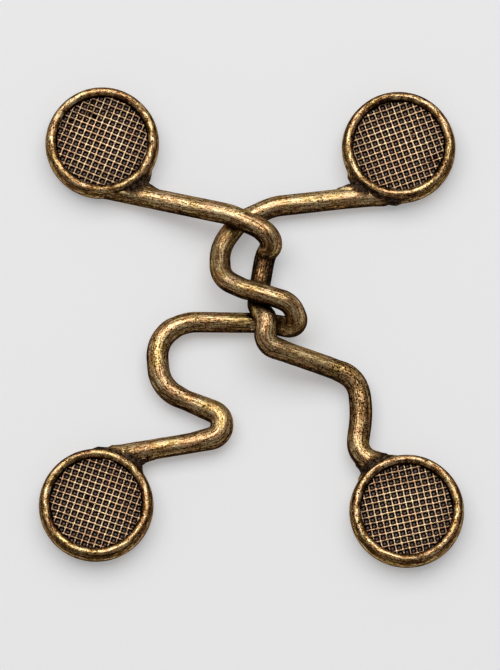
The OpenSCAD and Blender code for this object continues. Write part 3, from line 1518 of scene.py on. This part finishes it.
class Tree:
    """A node tree with short calls for the nodes that the finishes use."""

    # Nodes in a row of the editor, and the distances from one to the next
    in_row = 8
    apart = (220, -260)

    def __init__(self, tree: bpy.types.NodeTree) -> None:
        """Keeps the tree and the number of nodes placed so far."""
        self.tree = tree
        self.count = 0

    def node(self, kind: str, **settings: object) -> bpy.types.Node:
        """Adds a node and sets its properties.

        Args:
            kind: type of the node.
            settings: properties of the node by name.

        Returns:
            The node.
        """
        node = self.tree.nodes.new(kind)
        row, column = divmod(self.count, self.in_row)
        node.location = (self.apart[0] * column, self.apart[1] * row)
        self.count += 1
        for name, value in settings.items():
            setattr(node, name, value)
        return node

    def feed(self, socket: Socket, value: Value) -> None:
        """Links a socket to an input, or sets the input to a plain value.

        Args:
            socket: the input.
            value: what it gets.
        """
        if isinstance(value, bpy.types.NodeSocket):
            self.tree.links.new(value, socket)
        else:
            socket.default_value = value

    def math(self, operation: str, *values: Value, clamp: bool = False) -> Socket:
        """Places a Math node.

        Args:
            operation: what it does.
            values: one to three values.
            clamp: whether the result is held between 0 and 1.

        Returns:
            The result.
        """
        node = self.node("ShaderNodeMath", operation=operation, use_clamp=clamp)
        for socket, value in zip(node.inputs, values):
            self.feed(socket, value)
        return node.outputs[0]

    def add(self, first: Value, second: Value, clamp: bool = False) -> Socket:
        """First plus second."""
        return self.math("ADD", first, second, clamp=clamp)

    def minus(self, first: Value, second: Value, clamp: bool = False) -> Socket:
        """First minus second."""
        return self.math("SUBTRACT", first, second, clamp=clamp)

    def times(self, first: Value, second: Value) -> Socket:
        """First times second."""
        return self.math("MULTIPLY", first, second)

    def larger(self, first: Value, second: Value) -> Socket:
        """The larger of the two."""
        return self.math("MAXIMUM", first, second)

    def step(self, value: Value, low: float, high: float, start: float = 0.0,
             end: float = 1.0) -> Socket:
        """Smooth step of a value.

        Args:
            value: what is stepped.
            low: where the step starts.
            high: where it ends.
            start: result below the step.
            end: result above it.

        Returns:
            The result.
        """
        node = self.node("ShaderNodeMapRange", interpolation_type="SMOOTHSTEP")
        for name, setting in (("Value", value), ("From Min", low), ("From Max", high),
                              ("To Min", start), ("To Max", end)):
            self.feed(node.inputs[name], setting)
        return node.outputs["Result"]

    def scaled(self, vector: Socket, scale: tuple[float, float, float]) -> Socket:
        """Multiplies each part of a vector by its own number.

        Args:
            vector: the vector.
            scale: the three numbers.

        Returns:
            The result.
        """
        node = self.node("ShaderNodeVectorMath", operation="MULTIPLY")
        self.feed(node.inputs[0], vector)
        node.inputs[1].default_value = scale
        return node.outputs[0]

    def texture(self, vector: Socket, scale: float, detail: float = 2.0,
                rough: float = 0.5, warp: float = 0.0) -> bpy.types.Node:
        """Places a noise texture.

        Args:
            vector: where it is read.
            scale: number of its spots in a unit of length.
            detail: number of its finer layers.
            rough: strength of each finer layer.
            warp: how far it is distorted.

        Returns:
            The node.
        """
        node = self.node("ShaderNodeTexNoise")
        self.feed(node.inputs["Vector"], vector)
        for name, setting in (("Scale", scale), ("Detail", detail), ("Roughness", rough),
                              ("Distortion", warp)):
            node.inputs[name].default_value = setting
        return node

    def cloud(self, vector: Socket, scale: float, **settings: float) -> Socket:
        """One value of a noise texture."""
        return self.texture(vector, scale, **settings).outputs["Fac"]

    def mix(self, share: Value, first: Value, second: Value,
            blend: Blend = Blend.PLAIN) -> Socket:
        """Mixes two colours.

        Args:
            share: how much of the second one there is, from 0 to 1.
            first: the first colour.
            second: the second colour.
            blend: how they are mixed.

        Returns:
            The mixed colour.
        """
        node = self.node("ShaderNodeMix", data_type="RGBA", blend_type=blend.value)
        self.feed(node.inputs["Factor"], share)
        # Inputs 6 and 7 and output 2 are the ones for colours
        self.feed(node.inputs[6], first)
        self.feed(node.inputs[7], second)
        return node.outputs[2]

    def ramp(self, value: Socket, stops: Sequence[tuple[float, Colour]]) -> Socket:
        """Colour ramp.

        Args:
            value: what is looked up.
            stops: places from 0 to 1 and their colours.

        Returns:
            The colour.
        """
        node = self.node("ShaderNodeValToRGB")
        elements = node.color_ramp.elements
        while len(elements) < len(stops):
            elements.new(1.0)
        for element, (place, colour) in zip(elements, stops):
            element.position = place
            element.color = colour
        self.feed(node.inputs["Fac"], value)
        return node.outputs["Color"]

    def millimetres(self) -> Socket:
        """Object coordinates in millimetres."""
        coordinates = self.node("ShaderNodeTexCoord")
        return self.scaled(coordinates.outputs["Object"], (1.0 / MM,) * 3)

    def attribute(self, mark: Mark) -> Socket:
        """Attribute of the mesh, as a vector for the grain and else as a number."""
        node = self.node("ShaderNodeAttribute", attribute_name=mark.value)
        return node.outputs["Vector" if mark is Mark.GRAIN else "Fac"]

    def bumped(self, height: Socket) -> Socket:
        """Normal of a surface with relief.

        Args:
            height: the relief in millimetres.

        Returns:
            The normal.
        """
        bump = self.node("ShaderNodeBump")
        bump.inputs["Strength"].default_value = 1.0
        bump.inputs["Distance"].default_value = MM
        self.feed(bump.inputs["Height"], height)
        return bump.outputs["Normal"]


class Group:
    """A shader node group with named inputs and outputs."""

    def __init__(self, name: str, inputs: dict[str, Kind], outputs: dict[str, Kind]) -> None:
        """Makes the group and its sockets.

        Args:
            name: name of the group.
            inputs: socket kinds by name.
            outputs: socket kinds by name.
        """
        self.data = bpy.data.node_groups.new(name, "ShaderNodeTree")
        for flow, sockets in (("INPUT", inputs), ("OUTPUT", outputs)):
            for key, kind in sockets.items():
                self.data.interface.new_socket(key, in_out=flow, socket_type=kind.value)
        self.tree = Tree(self.data)
        self.given = self.tree.node("NodeGroupInput").outputs
        self.result = self.tree.node("NodeGroupOutput").inputs

    def give(self, **values: Socket) -> None:
        """Feeds the group's outputs, which are given by name."""
        for key, value in values.items():
            self.tree.feed(self.result[key], value)

    def place(self, tree: Tree, **values: Value) -> bpy.types.NodeOutputs:
        """Places the group in a material.

        Args:
            tree: the material's tree.
            values: inputs by name.

        Returns:
            The outputs of the group's node.
        """
        node = tree.node("ShaderNodeGroup")
        node.node_tree = self.data
        for key, value in values.items():
            tree.feed(node.inputs[key], value)
        return node.outputs


def draw_marks() -> Group:
    """Long streaks and fine marks along the grain, and a speckle that has no direction.

    Streaks and marks are noise on the grain vector, which changes slowly along the metal
    and quickly across it. Heights are in millimetres.

    Returns:
        The group.
    """
    group = Group("Draw marks", {"Grain": Kind.VECTOR, "Place": Kind.VECTOR},
                  dict.fromkeys(("Streaks", "Marks", "Speckle", "Height"), Kind.NUMBER))
    tree = group.tree
    grain, place = group.given["Grain"], group.given["Place"]
    streaks = tree.cloud(tree.scaled(grain, (0.24, 0.62, 0.62)), 1.0,
                         detail=3.0, rough=0.6, warp=0.4)
    coarse = tree.cloud(grain, 1.0, rough=0.6, warp=0.3)
    fine = tree.cloud(tree.scaled(grain, (2.6, 2.2, 2.2)), 1.0, rough=0.6)
    speckle = tree.cloud(place, 6.2, rough=0.65, warp=0.4)
    coarse, fine, speckle = (tree.step(cloud, 0.32, 0.68) for cloud in (coarse, fine, speckle))
    marks = tree.add(tree.times(coarse, 0.5), tree.times(fine, 0.5))
    height = tree.add(tree.times(marks, 0.010), tree.times(speckle, 0.009))
    group.give(Streaks=tree.step(streaks, 0.34, 0.66), Marks=marks, Speckle=speckle,
               Height=height)
    return group


def pits() -> Group:
    """Small pits: round spots about the points of a cell pattern, in two sizes.

    A cell has a pit only where its random number is under the density. The pattern is
    read at places that are pushed about a little, so that the pits aren't quite round.

    Returns:
        The group.
    """
    group = Group("Pits", {"Place": Kind.VECTOR, "Density": Kind.NUMBER},
                  dict.fromkeys(("Mask", "Height"), Kind.NUMBER))
    tree = group.tree
    place, density = group.given["Place"], group.given["Density"]
    push = tree.scaled(tree.texture(place, 5.0).outputs["Color"], (0.16, 0.16, 0.16))
    pushed = tree.node("ShaderNodeVectorMath", operation="ADD")
    tree.feed(pushed.inputs[0], place)
    tree.feed(pushed.inputs[1], push)
    masks = []
    for scale, size in ((1.9, 0.30), (3.6, 0.34)):
        cell = tree.node("ShaderNodeTexVoronoi", feature="F1")
        tree.feed(cell.inputs["Vector"], pushed.outputs[0])
        cell.inputs["Scale"].default_value = scale
        drawn = tree.node("ShaderNodeSeparateColor")
        tree.feed(drawn.inputs[0], cell.outputs["Color"])
        chosen = tree.math("LESS_THAN", drawn.outputs[0], density)
        spot = tree.step(cell.outputs["Distance"], size * 0.35, size, 1.0, 0.0)
        masks.append(tree.times(spot, chosen))
    mask = tree.larger(*masks)
    group.give(Mask=mask, Height=tree.times(mask, -0.05))
    return group


BRASS_STOPS = (
    (0.00, srgb(16, 10, 7)),
    (0.20, srgb(52, 36, 25)),
    (0.40, srgb(92, 67, 42)),
    (0.60, srgb(138, 104, 63)),
    (0.80, srgb(194, 160, 109)),
    (1.00, srgb(236, 216, 174)),
)

WAFFLE_STOPS = (
    (0.00, srgb(4, 2, 1)),
    (0.20, srgb(38, 28, 21)),
    (0.42, srgb(104, 79, 61)),
    (0.65, srgb(171, 140, 109)),
    (1.00, srgb(227, 199, 160)),
)


class Tint(NamedTuple):
    """A tint that the brass has in some areas: its colour, its strongest share, the scale of
    the noise that places the areas, and the levels where an area starts and is full."""

    colour: Colour
    share: float
    scale: float
    start: float
    full: float


def patina(name: str, stops: Sequence[tuple[float, Colour]], redness: float,
           greenness: float) -> Group:
    """Colour and gloss of brass from its wear, with redder and greener areas.

    Args:
        name: name of the group.
        stops: colours from the dark finish to bare brass.
        redness: share of the redder tint where it is strongest.
        greenness: share of the greener tint where it is strongest.

    Returns:
        The group.
    """
    group = Group(name, {"Wear": Kind.NUMBER, "Place": Kind.VECTOR},
                  {"Color": Kind.COLOUR, "Roughness": Kind.NUMBER, "Metallic": Kind.NUMBER})
    tree = group.tree
    wear, place = group.given["Wear"], group.given["Place"]
    colour = tree.ramp(wear, stops)
    # The greener areas are read upside down, so that they don't follow the redder ones
    flipped = tree.scaled(place, (1.0, 1.0, -1.3))
    for tint, where in (
        (Tint(srgb(232, 202, 196), redness, 0.45, 0.43, 0.62), place),
        (Tint(srgb(250, 250, 194), greenness, 0.30, 0.45, 0.64), flipped),
    ):
        area = tree.cloud(where, tint.scale, detail=4.0, rough=0.7)
        share = tree.times(tree.step(area, tint.start, tint.full), tint.share)
        colour = tree.mix(share, colour, tint.colour, Blend.TINT)
    group.give(Color=colour, Roughness=tree.step(wear, 0.15, 0.95, 0.52, 0.32),
               Metallic=tree.step(wear, 0.10, 0.45, 0.94, 1.0))
    return group


def new_material(name: str) -> tuple[bpy.types.Material, Tree, bpy.types.NodeInputs]:
    """Makes an empty material with one surface shader.

    Args:
        name: name of the material.

    Returns:
        The material, its tree and the inputs of its shader.
    """
    material = bpy.data.materials.new(name)
    material.use_nodes = True
    material.node_tree.nodes.clear()
    tree = Tree(material.node_tree)
    shader = tree.node("ShaderNodeBsdfPrincipled")
    output = tree.node("ShaderNodeOutputMaterial")
    tree.feed(output.inputs["Surface"], shader.outputs["BSDF"])
    return material, tree, shader.inputs


# Finishes

# Tint of the shine at a low angle, which keeps the dark finish brown there
EDGE_TINT = (0.40, 0.37, 0.335, 1.0)


@dataclass(frozen=True)
class AntiqueBrass:
    """Dark antique finish on brass, rubbed through where hands and cloth reach.

    Attributes:
        marks: group of the draw marks.
        pits: group of the pits.
        patina: group of the colours.
        name: name of the material.
        uneven: how much each kind of mark changes the wear.
        worn: levels of the wear between which the finish goes from whole to gone.
        pit_density: share of the cells that have a pit, where pits are common.
        pitted_density: the same on a pitted stretch.
        pit_loss: what a pit takes off the wear.
        pitted_loss: what a pitted stretch takes off it.
        solder_loss: what solder takes off it.
        solder_dark: darkest colour of solder.
        solder_light: lightest colour of solder.
        solder_share: how far solder hides the brass's colour.
        solder_relief: height of solder's roughness.
    """

    marks: Group
    pits: Group
    patina: Group
    name: str = "rubbed_brass"
    uneven: tuple[tuple[str, float], ...] = (
        ("Streaks", 0.29), ("Marks", 0.46), ("Speckle", 0.33))
    worn: tuple[float, float] = (0.06, 0.98)
    pit_density: float = 0.26
    pitted_density: float = 0.95
    pit_loss: float = 0.80
    pitted_loss: float = 0.10
    solder_loss: float = 0.62
    solder_dark: Colour = srgb(30, 22, 17)
    solder_light: Colour = srgb(122, 100, 80)
    solder_share: float = 0.8
    solder_relief: float = 0.34

    def make(self) -> bpy.types.Material:
        """Builds the material.

        Returns:
            The material.
        """
        material, tree, shader = new_material(self.name)
        shader["Specular Tint"].default_value = EDGE_TINT
        place = tree.millimetres()
        rub, solder, pitted, grain = (tree.attribute(mark) for mark in (
            Mark.RUB, Mark.SOLDER, Mark.PITTED, Mark.GRAIN))
        marks = self.marks.place(tree, Grain=grain, Place=place)
        areas = tree.step(tree.cloud(place, 0.8), 0.42, 0.62, 0.25, 1.0)
        density = tree.larger(tree.times(areas, self.pit_density),
                              tree.times(pitted, self.pitted_density))
        holes = self.pits.place(tree, Place=place, Density=density)
        wear = rub
        for key, share in self.uneven:
            wear = tree.add(wear, tree.times(tree.minus(marks[key], 0.5), share))
        wear = tree.step(wear, *self.worn)
        wear = tree.minus(wear, tree.times(holes["Mask"], self.pit_loss))
        wear = tree.minus(wear, tree.times(pitted, self.pitted_loss))
        wear = tree.minus(wear, tree.times(solder, self.solder_loss), clamp=True)
        finish = self.patina.place(tree, Wear=wear, Place=place)
        spots = tree.step(tree.cloud(place, 2.4, detail=3.0, rough=0.7), 0.44, 0.64)
        stain = tree.mix(spots, self.solder_dark, self.solder_light)
        colour = tree.mix(tree.times(solder, self.solder_share), finish["Color"], stain)
        rough = tree.times(tree.cloud(place, 2.4, detail=4.0, rough=0.7), self.solder_relief)
        height = tree.add(tree.add(marks["Height"], holes["Height"]), tree.times(solder, rough))
        tree.feed(shader["Base Color"], colour)
        tree.feed(shader["Roughness"], finish["Roughness"])
        tree.feed(shader["Metallic"], finish["Metallic"])
        tree.feed(shader["Normal"], tree.bumped(height))
        return material


@dataclass(frozen=True)
class WaffleBrass:
    """The waffle discs: brass on the ribs, dark finish in the pockets, and painted light on the
    middle of each pocket's floor.

    Attributes:
        marks: group of the draw marks.
        patina: group of the colours.
        name: name of the material.
        uneven: how much the speckle changes the wear where there is some.
        speckled: levels of the wear between which the speckle comes in.
        dust: colour of the painted light on the middles of the pockets' floors.
        pocket_light_share: how far that painted light hides what is under it.
    """

    marks: Group
    patina: Group
    name: str = "rubbed_waffle"
    uneven: float = 0.5
    speckled: tuple[float, float] = (0.05, 0.4)
    dust: Colour = srgb(126, 110, 102)
    pocket_light_share: float = 0.70

    def make(self) -> bpy.types.Material:
        """Builds the material.

        Returns:
            The material.
        """
        material, tree, shader = new_material(self.name)
        shader["Specular Tint"].default_value = EDGE_TINT
        place = tree.millimetres()
        rub, dust, grain = (tree.attribute(mark) for mark in (Mark.RUB, Mark.POCKET_LIGHT, Mark.GRAIN))
        marks = self.marks.place(tree, Grain=grain, Place=place)
        uneven = tree.times(tree.minus(marks["Speckle"], 0.5), self.uneven)
        wear = tree.add(rub, tree.times(uneven, tree.step(rub, *self.speckled)), clamp=True)
        finish = self.patina.place(tree, Wear=wear, Place=place)
        # Painted light: a pale patch on the middle of each pocket's floor
        colour = tree.mix(tree.times(dust, self.pocket_light_share), finish["Color"], self.dust)
        tree.feed(shader["Base Color"], colour)
        tree.feed(shader["Roughness"], finish["Roughness"])
        shader["Metallic"].default_value = 1.0
        tree.feed(shader["Normal"], tree.bumped(marks["Height"]))
        return material


# Studio

@dataclass(frozen=True)
class SoftBox:
    """A rectangular soft light that looks at the middle of the object. Lengths are in metres.

    Attributes:
        name: name of the light.
        power: its power in watts.
        width: its width.
        depth: its depth.
        distance: its distance from the middle of the object.
        height: angle above the floor, in degrees.
        turn: angle from the picture's top towards the left, in degrees.
        shine_only: whether it is seen only in the shine of the metal, and lights nothing
            else.
    """

    name: str
    power: float
    width: float
    depth: float
    distance: float
    height: float
    turn: float
    shine_only: bool = False

    def build(self) -> None:
        """Makes the light."""
        data = bpy.data.lights.new(self.name, "AREA")
        data.shape = "RECTANGLE"
        data.size = self.width
        data.size_y = self.depth
        data.energy = self.power
        lamp = bpy.data.objects.new(self.name, data)
        up, left = math.radians(self.height), math.radians(self.turn)
        ray = Vector((-math.sin(left) * math.cos(up), math.cos(left) * math.cos(up),
                      math.sin(up)))
        lamp.location = ray * self.distance
        lamp.rotation_mode = "QUATERNION"
        lamp.rotation_quaternion = ray.to_track_quat("Z", "Y")
        lamp.visible_diffuse = not self.shine_only
        bpy.context.scene.collection.objects.link(lamp)


@dataclass(frozen=True)
class Studio:
    """Pale floor that glows a little, which keeps shadows light, a wide soft light from the
    picture's top, a second one that only the metal's shine shows, and a weak light all round.

    Attributes:
        floor_size: length of the floor's sides in metres.
        floor_shade: colour of the floor.
        floor_roughness: its roughness.
        floor_shine: its shine.
        floor_glow: strength of its glow.
        lights: the soft lights.
        world_strength: strength of the light all round.
    """

    floor_size: float = 4.0
    floor_shade: Colour = (0.80, 0.80, 0.805, 1.0)
    floor_roughness: float = 0.9
    floor_shine: float = 0.2
    floor_glow: float = 0.33
    lights: tuple[SoftBox, ...] = (
        SoftBox("key", power=10.3, width=1.8, depth=1.0, distance=1.2, height=63.0, turn=7.0),
        SoftBox("shine", power=5.8, width=1.7, depth=1.0, distance=1.25, height=62.0, turn=7.0,
                shine_only=True),
    )
    world_strength: float = 0.22

    def build(self) -> None:
        """Makes the floor, the lights and the world."""
        half = self.floor_size / 2.0
        corners = np.array([[-half, -half, 0.0], [half, -half, 0.0],
                            [half, half, 0.0], [-half, half, 0.0]])
        floor = new_object("floor", corners, np.array([[0, 1, 2, 3]]))
        material, _, shader = new_material("pale_paper")
        shader["Base Color"].default_value = self.floor_shade
        shader["Roughness"].default_value = self.floor_roughness
        shader["Specular IOR Level"].default_value = self.floor_shine
        shader["Emission Color"].default_value = self.floor_shade
        shader["Emission Strength"].default_value = self.floor_glow
        floor.data.materials.append(material)
        for light in self.lights:
            light.build()
        world = bpy.data.worlds.new("studio")
        bpy.context.scene.world = world
        world.use_nodes = True
        shade = world.node_tree.nodes["Background"]
        shade.inputs["Color"].default_value = (1.0, 1.0, 1.0, 1.0)
        shade.inputs["Strength"].default_value = self.world_strength


@dataclass(frozen=True)
class PhotoCamera:
    """Camera at the photograph's angle. Lengths are in millimetres.

    Attributes:
        height: its angle above the floor, in degrees.
        distance: its distance from the aim.
        aim: the point that it looks at.
        pixel: width of one pixel of the photograph at the aim.
        picture_height: height of the photograph in pixels.
        sensor: size of the camera's sensor.
        clip: nearest and farthest distance that it sees, in metres.
    """

    height: float = 77.0
    distance: float = 1200.0
    aim: tuple[float, float, float] = (-0.18, -1.14, 1.5)
    pixel: float = 0.1328
    picture_height: int = 670
    sensor: float = 36.0
    clip: tuple[float, float] = (0.01, 10.0)

    def build(self) -> None:
        """Makes the camera, so that one pixel at the aim is as wide as the photograph's."""
        data = bpy.data.cameras.new("camera")
        data.sensor_width = self.sensor
        data.sensor_fit = "AUTO"
        data.lens = self.distance / self.pixel / self.picture_height * self.sensor
        data.clip_start, data.clip_end = self.clip
        camera = bpy.data.objects.new("camera", data)
        angle = math.radians(self.height)
        back = Vector((0.0, -math.cos(angle), math.sin(angle)))
        camera.location = (Vector(self.aim) + back * self.distance) * MM
        camera.rotation_mode = "QUATERNION"
        camera.rotation_quaternion = (-back).to_track_quat("-Z", "Y")
        bpy.context.scene.collection.objects.link(camera)
        bpy.context.scene.camera = camera


def set_colours() -> None:
    """Plain colour management, so that the floor's grey comes out as it is set."""
    settings = bpy.context.scene.view_settings
    settings.view_transform = "Standard"
    settings.look = "None"
    settings.exposure = 0.0
    settings.gamma = 1.0


def main() -> None:
    """Builds the studio, the two hooks and the four waffle discs."""
    logging.basicConfig(level=logging.INFO, format="%(name)s: %(message)s")
    PhotoCamera().build()
    Studio().build()
    set_colours()

    marks = draw_marks()
    brass = AntiqueBrass(marks, pits(), patina("Patina of brass", BRASS_STOPS, 0.7, 0.55))
    pressed = WaffleBrass(marks, patina("Patina of the waffle", WAFFLE_STOPS, 0.5, 0.2))

    left, right = CentreLine(LEFT_BENDS), CentreLine(RIGHT_BENDS)
    hooks = (
        Hook("left_hook", Wire(left, seed=3),
             pads=(Pad("waffle_upper_left", seed=5, rubbed_from=12.0),
                   Pad("waffle_lower_right", seed=17, rubbed_from=28.0)),
             solder=Solder(2, LEFT_FILLETS), other=right,
             lies_low=Stretch(27.0, 38.0, climb=1.2, fall=1.2),
             pitted=Stretch(49.0, 64.0, climb=3.0, fall=1.5)),
        Hook("right_hook", Wire(right, seed=40),
             pads=(Pad("waffle_upper_right", seed=29, rubbed_from=28.0),
                   Pad("waffle_lower_left", seed=31, rubbed_from=28.0)),
             solder=Solder(6, RIGHT_FILLETS), other=left,
             lies_low=Stretch(45.5, 50.5, climb=1.2, fall=1.2)),
    )
    waffles = (
        Waffle("waffle_upper_left", turn=-22.1, shift_along=-0.29, shift_across=0.06, seed=1,
               flaws=(Flaw(-2.2, 4.0, 1.9), Flaw(-4.2, 2.2, 1.3), Flaw(0.6, 3.6, 1.1))),
        Waffle("waffle_lower_right", turn=12.5, shift_along=0.04, shift_across=-0.06, seed=2),
        Waffle("waffle_upper_right", turn=19.4, shift_along=-0.01, shift_across=-0.15, seed=3,
               flaws=(Flaw(4.6, -2.0, 0.8), Flaw(1.6, 1.6, 0.7))),
        Waffle("waffle_lower_left", turn=-19.1, shift_along=-0.04, shift_across=0.09, seed=4,
               flaws=(Flaw(-0.6, 0.4, 0.8),)),
    )
    for pieces, finish in ((hooks, brass.make()), (waffles, pressed.make())):
        for piece in pieces:
            made = piece.build()
            piece.dress(made, finish)
            log.info("%s: %d faces", made.name, len(made.data.polygons))


if __name__ == "__main__":
    main()
